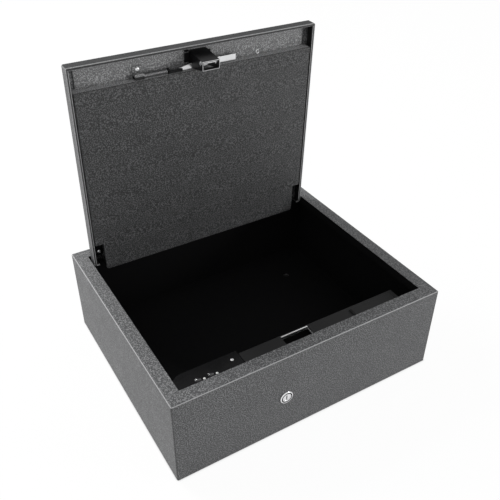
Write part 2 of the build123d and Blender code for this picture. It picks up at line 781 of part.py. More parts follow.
def spring_link():
    """Flat link between the keeper bar and the spring, with its rivet."""
    along = bar_end_rear + bar_end_width / 2
    low = bar_deep + bar_sheet
    link = lid_block(link_left_x, bar_left_x + 3, along - link_width / 2, along + link_width / 2,
                     low, low + bar_sheet)
    link += rod_z(link_rivet_radius, lid_z(low + bar_sheet + 0.6), lid_z(low), bar_left_x + 2, lid_y(along))
    eye = lid_block(link_left_x - link_eye_radius, link_left_x, spring_along - link_eye_radius,
                    spring_along + link_eye_radius, spring_deep - link_eye_radius, low + bar_sheet)
    eye -= lid_block(link_left_x - link_eye_radius - 1, link_left_x - 0.9, spring_along - 0.8,
                     spring_along + 0.8, 0, lid_depth)
    return link + eye


def keeper_bar():
    """Flat bar through the striker, its left end cranked and tapered."""
    return bar_solid(0.0)


def spring_anchor():
    """Block on the mounting plate that holds the fixed end of the spring."""
    right = spring_left_x
    left = right - anchor_width
    half = anchor_length / 2
    along = spring_along + anchor_offset
    body = lid_block(left, right, along - half, along + half, mounting_plate_deep,
                     spring_deep + spring_mean_radius + spring_wire_radius)
    body = fillet(body.edges().filter_by(Axis.Z), 1.0)
    body += lid_block(left, right, along + half, along + half + anchor_foot, mounting_plate_deep,
                      mounting_plate_deep + anchor_foot_sheet)
    return body


def biarc(start, start_direction, end, end_direction):
    """Two tangent arcs between two points with given directions."""
    span = end - start
    total = start_direction + end_direction
    spread = 2 * (1 - start_direction.dot(end_direction))
    along = span.dot(total)
    reach = (-along + sqrt(along * along + spread * span.dot(span))) / spread
    corner_a = start + start_direction * reach
    corner_b = end - end_direction * reach
    middle = (corner_a + corner_b) * 0.5
    first = Edge.make_tangent_arc(start, start_direction, middle)
    second = Edge.make_tangent_arc(middle, (corner_b - corner_a).normalized(), end)
    return [first, second]


def spring_point(turn):
    """Centre of the spring wire after a number of turns, on the closed lid."""
    angle = tau * turn
    y = lid_y(spring_along) + spring_mean_radius * cos(angle)
    z = lid_z(spring_deep) + spring_mean_radius * sin(angle)
    return Vector(spring_left_x + spring_pitch * turn, y, z)


def spring_direction(turn):
    """Direction of the spring wire after a number of turns."""
    angle = tau * turn
    around = tau * spring_mean_radius
    return Vector(spring_pitch, -around * sin(angle), around * cos(angle)).normalized()


def bar_spring():
    """Tension spring as one unbroken wire, its end turns bent square to what holds them."""
    wire_diameter = 2 * spring_wire_radius
    lead = spring_lead / spring_pitch
    first_turn = lead
    last_turn = spring_curls - lead
    steps = round(2 * (last_turn - first_turn))
    turns = [first_turn + (last_turn - first_turn) * i / steps for i in range(steps + 1)]
    edges = []
    axis = Vector(1, 0, 0)
    start = spring_point(first_turn)
    start = Vector(spring_left_x + wire_diameter, start.Y, start.Z)
    finish = spring_point(last_turn)
    finish = Vector(spring_right_x - wire_diameter, finish.Y, finish.Z)
    entry = spring_point(first_turn + 0.25)
    leave = spring_point(last_turn - 0.25)
    inner_turns = [first_turn + 0.25 + (last_turn - first_turn - 0.5) * i / steps for i in range(steps + 1)]
    edges.append(Edge.make_line(Vector(spring_left_x, start.Y, start.Z), start))
    edges += biarc(start, axis, entry, spring_direction(first_turn + 0.25))
    for a, b in zip(inner_turns[:-1], inner_turns[1:]):
        edges += biarc(spring_point(a), spring_direction(a), spring_point(b), spring_direction(b))
    edges += biarc(leave, spring_direction(last_turn - 0.25), finish, axis)
    edges.append(Edge.make_line(finish, Vector(spring_right_x, finish.Y, finish.Z)))
    path = Wire(edges)
    print("spring least gap to itself", round(spring_self_gap(inner_turns), 3), "path", round(path.length, 1))
    section = Plane(origin=path @ 0, z_dir=path % 0) * Circle(spring_wire_radius)
    spring = sweep(section, path=path)
    expected = section.area * path.length
    print("spring volume over section times length", round(spring.volume / expected, 4))
    return spring


def spring_self_gap(inner_turns):
    """Least distance between points of the wire over half a turn apart, less the wire."""
    samples = [inner_turns[0] + (inner_turns[-1] - inner_turns[0]) * i / 900 for i in range(901)]
    points = [spring_point(t) for t in samples]
    least = 1000.0
    for i in range(0, len(points), 3):
        for j in range(i + 1, len(points)):
            if samples[j] - samples[i] > 0.5 and samples[j] - samples[i] < 1.6:
                least = min(least, (points[i] - points[j]).length)
    return least - 2 * spring_wire_radius


def screw_head(radius, height, low, x, along, edge):
    """Screw head standing on a surface of the lid at a depth, its rim chamfered."""
    head = rod_z(radius, lid_z(low + height), lid_z(low), x, lid_y(along))
    return chamfer(head.edges().group_by(Axis.Z)[0], edge)


def lid_screws():
    """Anchor screw and the button-head screw beside the striker."""
    anchor_x = spring_left_x - anchor_width / 2
    anchor_along = spring_along + anchor_offset + anchor_length / 2 + anchor_foot / 2
    bright = screw_head(anchor_screw_radius, anchor_screw_height, mounting_plate_deep + anchor_foot_sheet,
                        anchor_x, anchor_along, 0.8)
    side_x = -strike_width / 2 - side_screw_gap
    dark = screw_head(side_screw_radius, side_screw_height, mounting_plate_deep, side_x, side_screw_along, 1.4)
    return Compound(children=[bright, dark])


def box_knuckle_span():
    """The middle knuckle's two x values."""
    return hinge_centre_x - box_knuckle_width / 2, hinge_centre_x + box_knuckle_width / 2


def lid_leaf():
    """Right-hand hinge leaf on the lid with its two outer knuckles."""
    low = lid_sheet
    high = lid_sheet + lid_leaf_sheet
    half = lid_leaf_width / 2
    leaf = lid_block(hinge_centre_x - half, hinge_centre_x + half, hinge_neck_length, lid_leaf_length, low, high)
    leaf = fillet(leaf.edges().filter_by(Axis.Z).group_by(Axis.Y)[0], 2.0)
    leaf += lid_block(hinge_inner_x, hinge_outer_x, pivot_along, hinge_neck_length, low, high)
    leaf += rod_x(knuckle_radius, hinge_inner_x, hinge_outer_x, pivot_y, pivot_z)
    left, right = box_knuckle_span()
    leaf -= rod_x(knuckle_radius + 2 * moving_gap, left - moving_gap, right + moving_gap, pivot_y, pivot_z)
    return leaf - rod_x(hinge_pin_radius + running_gap, hinge_inner_x - 1, hinge_outer_x + 1, pivot_y, pivot_z)


def box_leaf():
    """Right-hand hinge leaf on the rim's lip with the middle knuckle."""
    left, right = box_knuckle_span()
    leaf_low = box_height - rim_lip_drop
    strap_low = pivot_z - knuckle_radius
    strap_high = strap_low + box_leaf_sheet
    leaf = block(hinge_inner_x, hinge_outer_x, opening_half_y - box_leaf_sheet, opening_half_y,
                 leaf_low, strap_high)
    leaf += block(left, right, pivot_y, opening_half_y, strap_low, strap_high)
    leaf += rod_x(knuckle_radius, left, right, pivot_y, pivot_z)
    return leaf - rod_x(hinge_pin_radius + running_gap, left - 1, right + 1, pivot_y, pivot_z)


def hinge_pin():
    """Right-hand hinge pin."""
    return rod_x(hinge_pin_radius, hinge_inner_x, hinge_outer_x, pivot_y, pivot_z)


def hinge_rivet():
    """Right-hand rivet that fastens the lid leaf to the skin."""
    low = lid_sheet + lid_leaf_sheet
    head = rod_z(hinge_rivet_radius, lid_z(low + hinge_rivet_height), lid_z(low), hinge_centre_x,
                 lid_y(hinge_rivet_along))
    return chamfer(head.edges().group_by(Axis.Z)[0], hinge_rivet_height * 0.6)


def both_sides(shape):
    """The piece and its mirror image as one group."""
    return Compound(children=[shape, mirrored(shape)])


def reader_outline(width, height, radius):
    """Rounded outline of the reader on the lid."""
    return Pos(0, lid_y(reader_along)) * RectangleRounded(width, height, radius)


def reader_bezel():
    """Raised surround of the fingerprint reader, sloped and open in the middle."""
    base = Pos(0, 0, box_height) * reader_outline(reader_width, reader_height, reader_corner)
    body = extrude(base, reader_proud)
    body = chamfer(body.faces().sort_by(Axis.Z)[-1].edges(), reader_proud * 0.6)
    window = Pos(0, 0, box_height - 1) * reader_outline(reader_window_width, reader_window_height, 2.0)
    return body - extrude(window, reader_proud + 2)


def reader_window():
    """Sensor window, set below the surround's face."""
    pane = Pos(0, 0, box_height) * reader_outline(
        reader_window_width - 2 * seat_gap, reader_window_height - 2 * seat_gap, 2.0 - seat_gap)
    return extrude(pane, reader_proud - reader_window_recess)


def reader_board():
    """Reader's circuit board against the inside of the skin."""
    half_x = reader_window_width / 2 + reader_board_margin
    half_y = reader_window_height / 2 + reader_board_margin
    board = lid_block(-half_x, half_x, reader_along - half_y, reader_along + half_y,
                      lid_sheet, lid_sheet + board_thickness)
    return board + lid_block(-half_x / 2, half_x / 2, reader_along - half_y / 2, reader_along + half_y / 2,
                             lid_sheet + board_thickness, lid_sheet + 2 * board_thickness)


fixed_pieces = {
    "box_shell": box_shell(),
    "lock_cover": lock_cover(),
    "catch_plate": catch_plate(),
    "control_panel": control_panel(),
    "control_board": control_board(),
    "status_lamps": status_lamps(),
    "button_left": push_button(button_xs[0]),
    "button_right": push_button(button_xs[1]),
    "battery_tray": battery_tray(),
    "battery_cells": battery_cells(),
    "battery_door": battery_door(),
    "latch_frame": latch_frame(),
    "guide_pins": guide_pins(),
    "latch_slide": latch_slide(),
    "latch_bolt": latch_bolt(),
    "key_cam": key_cam(),
    "motor_crank": motor_crank(),
    "gearmotor": gearmotor(),
    "lock_housing": lock_housing(),
    "lock_nut": lock_nut(),
    "key_plug": key_plug(),
    "cam_screw": cam_screw(),
    "hinge_box_leaves": both_sides(box_leaf()),
}
lid_pieces = {
    "lid_shell": lid_shell(),
    "lid_inner_panel": lid_inner_panel(),
    "latch_mounting_plate": latch_mounting_plate(),
    "strike_bracket": strike_bracket(),
    "strike_pin": strike_pin(),
    "keeper_bar": keeper_bar(),
    "spring_link": spring_link(),
    "spring_anchor": spring_anchor(),
    "bar_spring": bar_spring(),
    "lid_screws": lid_screws(),
    "hinge_lid_leaves": both_sides(lid_leaf()),
    "hinge_pins": both_sides(hinge_pin()),
    "hinge_rivets": both_sides(hinge_rivet()),
    "reader_bezel": reader_bezel(),
    "reader_window": reader_window(),
    "reader_board": reader_board(),
}

os.makedirs("parts", exist_ok=True)
for name, piece in fixed_pieces.items():
    export_step(piece, f"parts/{name}.step")
for name, piece in lid_pieces.items():
    export_step(opened(piece), f"parts/{name}.step")
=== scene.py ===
import json
import math

import bmesh
import bpy
from mathutils import Matrix, Vector


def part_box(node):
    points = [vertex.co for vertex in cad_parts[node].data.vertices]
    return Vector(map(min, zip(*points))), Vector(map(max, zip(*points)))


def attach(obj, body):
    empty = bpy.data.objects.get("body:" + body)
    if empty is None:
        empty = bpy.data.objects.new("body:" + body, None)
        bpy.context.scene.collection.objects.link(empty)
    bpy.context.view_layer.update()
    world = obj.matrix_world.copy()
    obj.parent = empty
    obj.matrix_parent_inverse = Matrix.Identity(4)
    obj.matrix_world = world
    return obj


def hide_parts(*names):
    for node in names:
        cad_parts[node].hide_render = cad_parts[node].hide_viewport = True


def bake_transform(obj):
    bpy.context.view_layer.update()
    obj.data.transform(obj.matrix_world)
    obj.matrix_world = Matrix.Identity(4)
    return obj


bl_info = {
    "name": "Drawer safe",
    "version": (1, 0, 0),
    "blender": (4, 5, 0),
    "location": "View3D > Sidebar > Drawer safe",
    "description": "Finishes, rounded edges, fasteners, lock, buttons and spring of a biometric drawer safe",
    "category": "Object",
}

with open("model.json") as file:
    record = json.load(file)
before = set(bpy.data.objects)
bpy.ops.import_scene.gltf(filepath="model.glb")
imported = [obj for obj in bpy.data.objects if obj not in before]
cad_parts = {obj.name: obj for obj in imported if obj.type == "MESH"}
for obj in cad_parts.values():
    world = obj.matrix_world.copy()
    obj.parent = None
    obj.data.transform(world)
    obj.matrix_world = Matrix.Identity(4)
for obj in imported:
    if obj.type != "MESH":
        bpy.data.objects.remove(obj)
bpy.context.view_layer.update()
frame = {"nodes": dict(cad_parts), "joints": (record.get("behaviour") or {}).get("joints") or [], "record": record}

# The frame's own places, in metres. +X is right, +Y is towards the hinges and +Z is up.
RECORD_SLOTS = {part["node"]: part["material_slot"] for part in frame["record"]["subparts"]}
BODIES = frame["record"]["behaviour"]["bodies"]
HINGE = next(joint for joint in frame["joints"] if joint["name"] == "lid_hinge")
SHELL_LOW, SHELL_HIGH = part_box("box_shell")
# Rear edge of the closed lid, behind the middle of the box
LID_REAR = 0.1293
# A distance beyond every piece of the safe
FAR = 10.0
# Points nearer than this are merged
MERGE = 1e-6

WHITE = (1.0, 1.0, 1.0, 1.0)
BLACK = (0.0, 0.0, 0.0, 1.0)

# Width and place of each lamp, which all shine at the middle of the box
LAMPS = {
    "key": (0.5, (1.3, -1.4, 0.6)),
    "fill": (1.4, (-0.9, -1.9, 0.9)),
    "back": (0.6, (-0.6, 1.6, 1.75)),
    "side": (0.4, (-0.85, 1.25, 0.55)),
}
LAMP_TARGET = Vector((0.0, 0.0, 0.12))


def length_property(name, description, default):
    """A size in metres for a PropertyGroup."""
    return bpy.props.FloatProperty(name=name, description=description, default=default, precision=5,
                                   unit="LENGTH")


def number_property(name, description, default):
    """A plain number for a PropertyGroup."""
    return bpy.props.FloatProperty(name=name, description=description, default=default, precision=3)


def colour_property(name, description, default):
    """A linear colour for a PropertyGroup."""
    return bpy.props.FloatVectorProperty(name=name, description=description, default=default, size=3,
                                         subtype="COLOR", min=0.0, max=1.0)


class StageSettings(bpy.types.PropertyGroup):
    """Camera, floor and light."""
    camera_place: bpy.props.FloatVectorProperty(
        name="Camera place", description="Where the camera stands",
        default=(-0.32847, -0.54518, 0.60153), subtype="TRANSLATION")
    camera_turn: bpy.props.FloatVectorProperty(
        name="Camera turn", description="How the camera is turned",
        default=(0.950650, -0.005086, -0.541127), subtype="EULER")
    lens: number_property("Lens", "Focal length in millimetres on a 36 mm sensor", 46.95)
    floor_size: length_property("Floor size", "Side of the pale floor", 8.0)
    floor_tone: number_property("Floor tone", "Reflectance of the floor", 0.97)
    floor_glow: number_property("Floor glow", "Share of the floor seen as plain white", 0.96)
    sky: number_property("Soft light", "Strength of the light from all sides", 0.48)
    key: number_property("Key light", "Power of the lamp at the front right, in watts", 12.5)
    fill: number_property("Fill light", "Power of the lamp at the front left, in watts", 1.0)
    back: number_property("Back light", "Power of the lamp above the rear left, in watts", 38.0)
    side: number_property("Side light", "Power of the lamp at the left, in watts", 6.0)


class CoatSettings(bpy.types.PropertyGroup):
    """Textured powder coat of the box and lid."""
    dark: colour_property("Coat dark", "Colour of the coat between its specks", (0.038, 0.039, 0.041))
    light: colour_property("Coat specks", "Colour of the coat's raised specks", (0.220, 0.222, 0.226))
    panel_dark: colour_property("Panel dark", "Colour of the lid panel between its specks",
                                (0.020, 0.0205, 0.021))
    panel_light: colour_property("Panel specks", "Colour of the lid panel's specks", (0.136, 0.137, 0.140))
    # The mounting plate's colours are a lighter copy of the coat: painted light
    lit_plate_dark: colour_property("Plate dark", "Colour of the latch's mounting plate between its specks",
                                (0.120, 0.121, 0.123))
    lit_plate_specks: colour_property("Plate specks", "Colour of the latch's mounting plate's specks",
                                 (0.390, 0.392, 0.396))
    # This edge colour is a painted highlight along the box's upper edges and the lid's rim
    highlighted: colour_property("Painted edge highlight", "Colour of the coat where an outer edge is rubbed",
                            (0.52, 0.52, 0.525))
    # This inside colour is painted shade inside the box and within the lid's lips, and the anchor hook's own black
    shade_and_black: colour_property("Inside", "Colour inside the box", (0.0016, 0.0016, 0.0018))
    speck: length_property("Speck size", "Size of the specks", 0.0013)
    relief: length_property("Speck relief", "Height of the specks", 0.00034)


class MetalSettings(bpy.types.PropertyGroup):
    """Bare and plated metals."""
    zinc: colour_property("Zinc", "Colour of zinc plate", (0.74, 0.745, 0.75))
    steel: colour_property("Steel", "Colour of plain steel", (0.32, 0.32, 0.325))
    chrome: colour_property("Chrome", "Colour of chrome", (0.80, 0.80, 0.81))
    brush: length_property("Brush marks", "Width of the brush marks", 0.00035)


class LockSettings(bpy.types.PropertyGroup):
    """Face of the key lock."""
    face_round: length_property("Face rounding", "Rounding of the bezel's outer edge", 0.0009)
    ring_outer: length_property("Ring outside", "Outer radius of the dark ring", 0.0068)
    ring_inner: length_property("Ring inside", "Inner radius of the dark ring", 0.0055)
    ring_depth: length_property("Ring depth", "Depth of the dark ring below the face", 0.0004)
    thread_pitch: length_property("Thread pitch", "Pitch of the barrel's thread", 0.001)
    thread_depth: length_property("Thread depth", "Depth of the barrel's thread", 0.0004)


class FastenerSettings(bpy.types.PropertyGroup):
    """Screws and rivets."""
    socket: length_property("Socket", "Radius of a screw's hexagon socket", 0.0013)
    socket_depth: length_property("Socket depth", "Depth of a screw's socket", 0.0014)
    panel_screw: length_property("Panel screw", "Radius of the control panel's screw head", 0.0019)
    panel_screw_x: length_property("Panel screw x", "Place of the panel's screw, to the right", -0.083)
    panel_screw_y: length_property("Panel screw y", "Place of the panel's screw, to the rear", -0.104)
    ring_rivet: length_property("Ring rivet", "Radius of the tubular rivet on the lid", 0.0026)
    ring_rivet_x: length_property("Ring rivet x", "Distance of the tubular rivet from the middle", 0.081)


class ControlSettings(bpy.types.PropertyGroup):
    """Buttons and lamps on the control panel."""
    button_collar: length_property("Button collar", "Width of the flat edge around a button's dome", 0.0004)
    lamp_dome: length_property("Lamp dome", "Height of a lamp's dome", 0.0007)


class SpringSettings(bpy.types.PropertyGroup):
    """Tension spring of the keeper bar."""
    turns: bpy.props.IntProperty(name="Turns", description="Number of turns", default=16, min=1)
    wire: length_property("Wire", "Radius of the wire", 0.0005)


class EdgeSettings(bpy.types.PropertyGroup):
    """Rounded edges of the sheet-metal and moulded parts."""
    moulded: length_property("Moulded edge", "Rounding of the moulded parts' edges", 0.0005)
    folded: length_property("Folded edge", "Rounding of the folded sheet's edges", 0.0004)
    punched: length_property("Punched edge", "Rounding of the small punched parts' edges", 0.00025)


SETTINGS = {
    "safe_stage": StageSettings,
    "safe_coat": CoatSettings,
    "safe_metal": MetalSettings,
    "safe_lock": LockSettings,
    "safe_fasteners": FastenerSettings,
    "safe_controls": ControlSettings,
    "safe_spring": SpringSettings,
    "safe_edges": EdgeSettings,
}


# Places on the lid


def lid_place():
    """Matrix of the open lid's own axes: x, the distance from its rear edge, the depth below its skin."""
    pivot = Vector(HINGE["pos_m"])
    opened = Matrix.Translation(pivot) @ Matrix.Rotation(-math.radians(HINGE["range_deg"][1]), 4, "X")
    rear_edge = Vector((0.0, LID_REAR, SHELL_HIGH.z))
    closed = Matrix.Translation(rear_edge - pivot) @ Matrix.Rotation(math.pi, 4, "X")
    return opened @ closed


def extent(node, place=Matrix.Identity(4), low=-FAR, high=FAR, axis=0):
    """Lowest and highest corners of a CAD node in a place's own axes, between two values on one axis."""
    to_local = place.inverted()
    points = [to_local @ vertex.co for vertex in frame["nodes"][node].data.vertices]
    points = [point for point in points if low <= point[axis] <= high]
    return Vector(map(min, zip(*points))), Vector(map(max, zip(*points)))


# Shader maths


class Value:
    """A node's output, with arithmetic that adds Math nodes."""

    def __init__(self, finish, socket):
        self.finish = finish
        self.socket = socket

    def calculate(self, operation, first, second):
        return self.finish.output("ShaderNodeMath", {"operation": operation}, {0: first, 1: second})

    def __add__(self, other):
        return self.calculate("ADD", self, other)

    __radd__ = __add__

    def __mul__(self, other):
        return self.calculate("MULTIPLY", self, other)

    __rmul__ = __mul__

    def __sub__(self, other):
        return self.calculate("SUBTRACT", self, other)

    def __rsub__(self, other):
        return self.calculate("SUBTRACT", other, self)


class Finish:
    """The nodes of a new material or world, and the one method that adds a node to them."""

    def __init__(self, name, library="materials"):
        self.owner = getattr(bpy.data, library).new(name)
        self.owner.use_nodes = True
        self.tree = self.owner.node_tree
        self.tree.nodes.clear()

    def node(self, kind, settings=None, inputs=None):
        made = self.tree.nodes.new(kind)
        for key, value in (settings or {}).items():
            setattr(made, key, value)
        for key, value in (inputs or {}).items():
            if isinstance(value, Value):
                self.tree.links.new(value.socket, made.inputs[key])
            else:
                made.inputs[key].default_value = value
        return made

    def output(self, kind, settings=None, inputs=None, name=0):
        return Value(self, self.node(kind, settings, inputs).outputs[name])

    def place(self, stretch=(1.0, 1.0, 1.0)):
        """Object coordinates, stretched along the axes."""
        where = self.output("ShaderNodeTexCoord", name="Object")
        return self.output("ShaderNodeMapping", inputs={"Vector": where, "Scale": stretch})

    def parts(self, where):
        """The three values of a vector."""
        split = self.node("ShaderNodeSeparateXYZ", inputs={"Vector": where})
        return [Value(self, split.outputs[axis]) for axis in range(3)]

    def axes(self):
        """Object coordinates as three values."""
        return self.parts(self.output("ShaderNodeTexCoord", name="Object"))

    def lid_axes(self):
        """The open lid's own coordinates as three values: x, the distance along it and the depth."""
        to_lid = lid_place().inverted()
        where = self.output("ShaderNodeTexCoord", name="Object")
        return self.parts(self.output("ShaderNodeMapping", inputs={
            "Vector": where, "Location": to_lid.to_translation(), "Rotation": to_lid.to_euler()}))

    def noise(self, where, size, detail=2.0, roughness=0.5):
        """Noise whose features are about as large as size."""
        return self.output("ShaderNodeTexNoise", inputs={
            "Vector": where, "Scale": 1.0 / size, "Detail": detail, "Roughness": roughness}, name="Fac")

    def ramp(self, value, low, high):
        """Runs from 0 to 1 between two values."""
        return self.output("ShaderNodeMapRange", {"clamp": True}, {
            "Value": value, "From Min": low, "From Max": high, "To Min": 0.0, "To Max": 1.0})

    def near(self, value, edge, start, full):
        """Runs from 0 to 1 towards an edge, between two distances below it."""
        return self.ramp(value, edge - start, edge - full)

    def band(self, value, low, high, soft):
        """1 between two values and 0 outside them."""
        return self.ramp(value, low - soft, low + soft) * (1.0 - self.ramp(value, high - soft, high + soft))

    def area(self, first, second, low, high, soft, inset=0.0):
        """1 where two values lie between a low and a high corner, inset from both, and 0 outside."""
        return (self.band(first, low[0] + inset, high[0] - inset, soft)
                * self.band(second, low[1] + inset, high[1] - inset, soft))

    def mix(self, share, first, second):
        """Mixes two colours."""
        return self.output("ShaderNodeMix", {"data_type": "RGBA"}, {0: share, 6: first, 7: second}, name=2)

    def bump(self, height, distance, strength=1.0):
        """Normal from a height."""
        return self.output("ShaderNodeBump", inputs={
            "Height": height, "Distance": distance, "Strength": strength})

    def surface(self, **inputs):
        """Principled shader with its sockets named in words."""
        words = {key.replace("_", " "): value for key, value in inputs.items()}
        return self.output("ShaderNodeBsdfPrincipled", inputs=words)

    def material(self, shader):
        """The material, with this shader as its surface."""
        self.node("ShaderNodeOutputMaterial", inputs={"Surface": shader})
        return self.owner


def rgba(colour, share=1.0):
    """A PropertyGroup colour as a socket's value, lighter or darker by a share."""
    return tuple(min(1.0, part * share) for part in colour) + (1.0,)


# Coats of the box and lid


def coat_shader(finish, coat, dark, light, rough, relief=1.0, layers=()):
    """Textured powder coat: pale raised specks on a dark ground.

    A layer is the share that it covers, with its colour or with the colours of its ground and its specks.
    """
    where = finish.place()
    grain = finish.noise(where, coat.speck, 3.0, 0.62)
    cloud = finish.noise(where, 22 * coat.speck, 2.0)
    tops = finish.ramp(grain, 0.48, 0.60)
    tone = finish.mix(tops, rgba(dark), rgba(light))
    worn = finish.mix(finish.ramp(cloud, 0.3, 0.7), tone, rgba(dark))
    colour = finish.mix(0.82, worn, tone)
    for share, *tones in layers:
        over = finish.mix(tops, *tones) if len(tones) == 2 else tones[0]
        colour = finish.mix(share, colour, over)
    return finish.surface(Base_Color=colour, Roughness=rough + 0.16 * tops + 0.08 * cloud,
                          Specular_IOR_Level=0.42, Normal=finish.bump(grain, relief * coat.relief, 0.9))


def box_coat(coat):
    """Powder coat outside, with a painted highlight along its upper edges, painted shade along its vertical
    corners and painted shade that makes it near-black inside.
    """
    finish = Finish("sandtex_box")
    x, y, z = finish.axes()
    top_face = finish.area(x, y, SHELL_LOW, SHELL_HIGH, soft=0.0003, inset=0.0008)
    # Painted highlight along the outer upper edges
    edge = (1.0 - top_face) * finish.near(z, SHELL_HIGH.z, start=0.0012, full=0.0005)
    # Painted shade along the vertical corners
    corner = 0.0012
    across = finish.band(x, SHELL_LOW.x + corner, SHELL_HIGH.x - corner, soft=0.0006)
    along = finish.band(y, SHELL_LOW.y + corner, SHELL_HIGH.y - corner, soft=0.0006)
    fold = (1.0 - across) * (1.0 - along)
    outside = coat_shader(finish, coat, coat.dark, coat.light, 0.42, layers=(
        (0.5 * fold, rgba(coat.dark, 0.3)),
        (0.80 * edge, rgba(coat.highlighted))))
    # Painted shade: the inside of the box is coloured near-black
    sheet = 0.001
    lip = 0.0006
    inside = (finish.area(x, y, SHELL_LOW, SHELL_HIGH, soft=0.0001, inset=sheet)
              * finish.band(z, sheet, SHELL_HIGH.z - lip, soft=0.0001))
    grain = finish.noise(finish.place(), coat.speck, 2.0)
    tone = finish.mix(grain, rgba(coat.shade_and_black), rgba(coat.shade_and_black, 2.4))
    shade_and_black = finish.surface(Base_Color=tone, Roughness=0.85, Specular_IOR_Level=0.12,
                            Normal=finish.bump(grain, coat.relief, 0.4))
    return finish.material(finish.output("ShaderNodeMixShader", inputs={0: inside, 1: outside, 2: shade_and_black}))


def lid_coat(coat):
    """Powder coat of the lid: painted shade on its front lip, a painted highlight on its rim and near-black
    painted shade on its hem and within its lips.
    """
    finish = Finish("sandtex_lid")
    low, high = extent("lid_shell", lid_place())
    x, along, depth = finish.lid_axes()
    sheet = 0.001
    skin = 0.0035
    lip = 0.0006
    # Painted shade: the lips' inner faces are coloured near-black
    inside = (finish.area(x, along, low, high, soft=0.0001, inset=sheet)
              * finish.band(depth, skin, high.z - lip, soft=0.0001))
    # Painted shade on the hem runs along the lips' ends, between their outer border and their inner sides
    outer = 0.0009
    side_inner = 0.0022
    front_inner = 0.0028
    end = finish.near(depth, high.z, start=0.0008, full=0.0004)
    within = finish.area(x, along, (low.x + side_inner, low.y), (high.x - side_inner, high.y - front_inner),
                         soft=0.0002)
    border = finish.area(x, along, (low.x + outer, low.y), (high.x - outer, high.y - outer), soft=0.0002)
    hem = end * border * (1.0 - within)
    # Painted highlight along the lips' ends outside the hem
    rim = end * (1.0 - hem)
    # Painted shade on the front lip's outer face
    front = finish.near(along, high.y, start=0.0007, full=0.0003) * (1.0 - end)
    return finish.material(coat_shader(finish, coat, coat.dark, coat.light, 0.42 + 0.4 * front, layers=(
        (0.80 * front, rgba(coat.dark, 0.3)),
        (0.45 * rim, rgba(coat.highlighted)),
        (0.80 * hem, rgba(coat.shade_and_black)),
        (inside, rgba(coat.shade_and_black)))))


def anchor_coat(coat):
    """Coat of the spring's anchor: the mounting plate's lighter tone, which is painted light, on its foot and
    satin black on its hook.
    """
    finish = Finish("anchor_coat")
    low = extent("spring_anchor", lid_place())[0]
    hook_end = low.y + 0.0034
    foot_start = low.y + 0.0038
    hook = 1.0 - finish.ramp(finish.lid_axes()[1], hook_end, foot_start)
    # The foot takes the plate's lighter tone, which is painted light
    return finish.material(coat_shader(finish, coat, coat.lit_plate_dark, coat.lit_plate_specks, 0.45, relief=0.4,
                                       layers=((hook, rgba(coat.shade_and_black)),)))


def plate_coat(coat):
    """Powder coat of the latch's mounting plate, a lighter copy of the coat with the light that falls on it
    painted in.
    """
    finish = Finish("sandtex_plate")
    return finish.material(coat_shader(finish, coat, coat.lit_plate_dark, coat.lit_plate_specks, 0.42))


def panel_paint(coat):
    """Darker coat of the lid's inner panel, whose folded edge carries painted light, lighter than the mounting
    plate.
    """
    finish = Finish("panel_paint")
    # Painted light on the panel's folded edge
    fold_end = 0.0120
    face_start = 0.0128
    fold = 1.0 - finish.ramp(finish.lid_axes()[2], fold_end, face_start)
    fold_painted_light = 1.7
    return finish.material(coat_shader(
        finish, coat, coat.panel_dark, coat.panel_light, 0.55, relief=0.6,
        layers=((fold, rgba(coat.lit_plate_dark, fold_painted_light), rgba(coat.lit_plate_specks, fold_painted_light)),)))


# Metals, paints and plastics


def metal(name, colour, brush, rough, along=(1.0, 1.0, 0.06), relief=0.00002):
    """Brushed or plated metal with marks along one axis."""
    finish = Finish(name)
    marks = finish.noise(finish.place(along), brush, 3.0, 0.7)
    cloud = finish.noise(finish.place(), 14 * brush, 2.0)
    tone = finish.mix(cloud, rgba(colour, 0.86), rgba(colour))
    return finish.material(finish.surface(
        Base_Color=tone, Metallic=1.0, Roughness=rough + 0.14 * marks + 0.08 * cloud,
        Normal=finish.bump(marks, relief, 0.6)))


def painted(name, colour, rough, grain_size, relief, coat=0.0, specular=0.5):
    """Paint or moulded plastic with a fine grain and faint handling marks."""
    finish = Finish(name)
    grain = finish.noise(finish.place(), grain_size, 2.0, 0.6)
    cloud = finish.noise(finish.place(), 0.012, 3.0, 0.6)
    tone = finish.mix(cloud, rgba(colour, 0.8), rgba(colour, 1.25))
    return finish.material(finish.surface(
        Base_Color=tone, Roughness=rough + 0.1 * grain + 0.08 * cloud, Coat_Weight=coat,
        Coat_Roughness=0.06, Specular_IOR_Level=specular, Normal=finish.bump(grain, relief, 0.7)))


def striker_paint():
    """Satin black of the striker, bare metal around its open end, painted pale there as a painted highlight on its
    edges.
    """
    finish = Finish("striker_paint")
    place = lid_place()
    tip = extent("strike_bracket", place)[1].z
    end_slice = 0.0005
    low, high = extent("strike_bracket", place, tip - end_slice, FAR, 2)
    x, along, depth = finish.lid_axes()
    middle = finish.area(x, along, low, high, soft=0.0002, inset=0.0006)
    # Painted highlight: the worn band around the end face's edges is bare metal painted pale
    worn = finish.near(depth, tip, start=0.0008, full=0.0003) * (1.0 - middle)
    grain = finish.noise(finish.place(), 0.0008, 2.0, 0.6)
    black = (0.004, 0.004, 0.0044, 1.0)
    bare = (0.62, 0.62, 0.63, 1.0)
    tone = finish.mix(worn * (0.55 + 0.45 * grain), black, bare)
    return finish.material(finish.surface(
        Base_Color=tone, Metallic=0.7 * worn, Roughness=0.36 + 0.1 * grain, Specular_IOR_Level=0.16,
        Normal=finish.bump(grain, 0.00003, 0.7)))


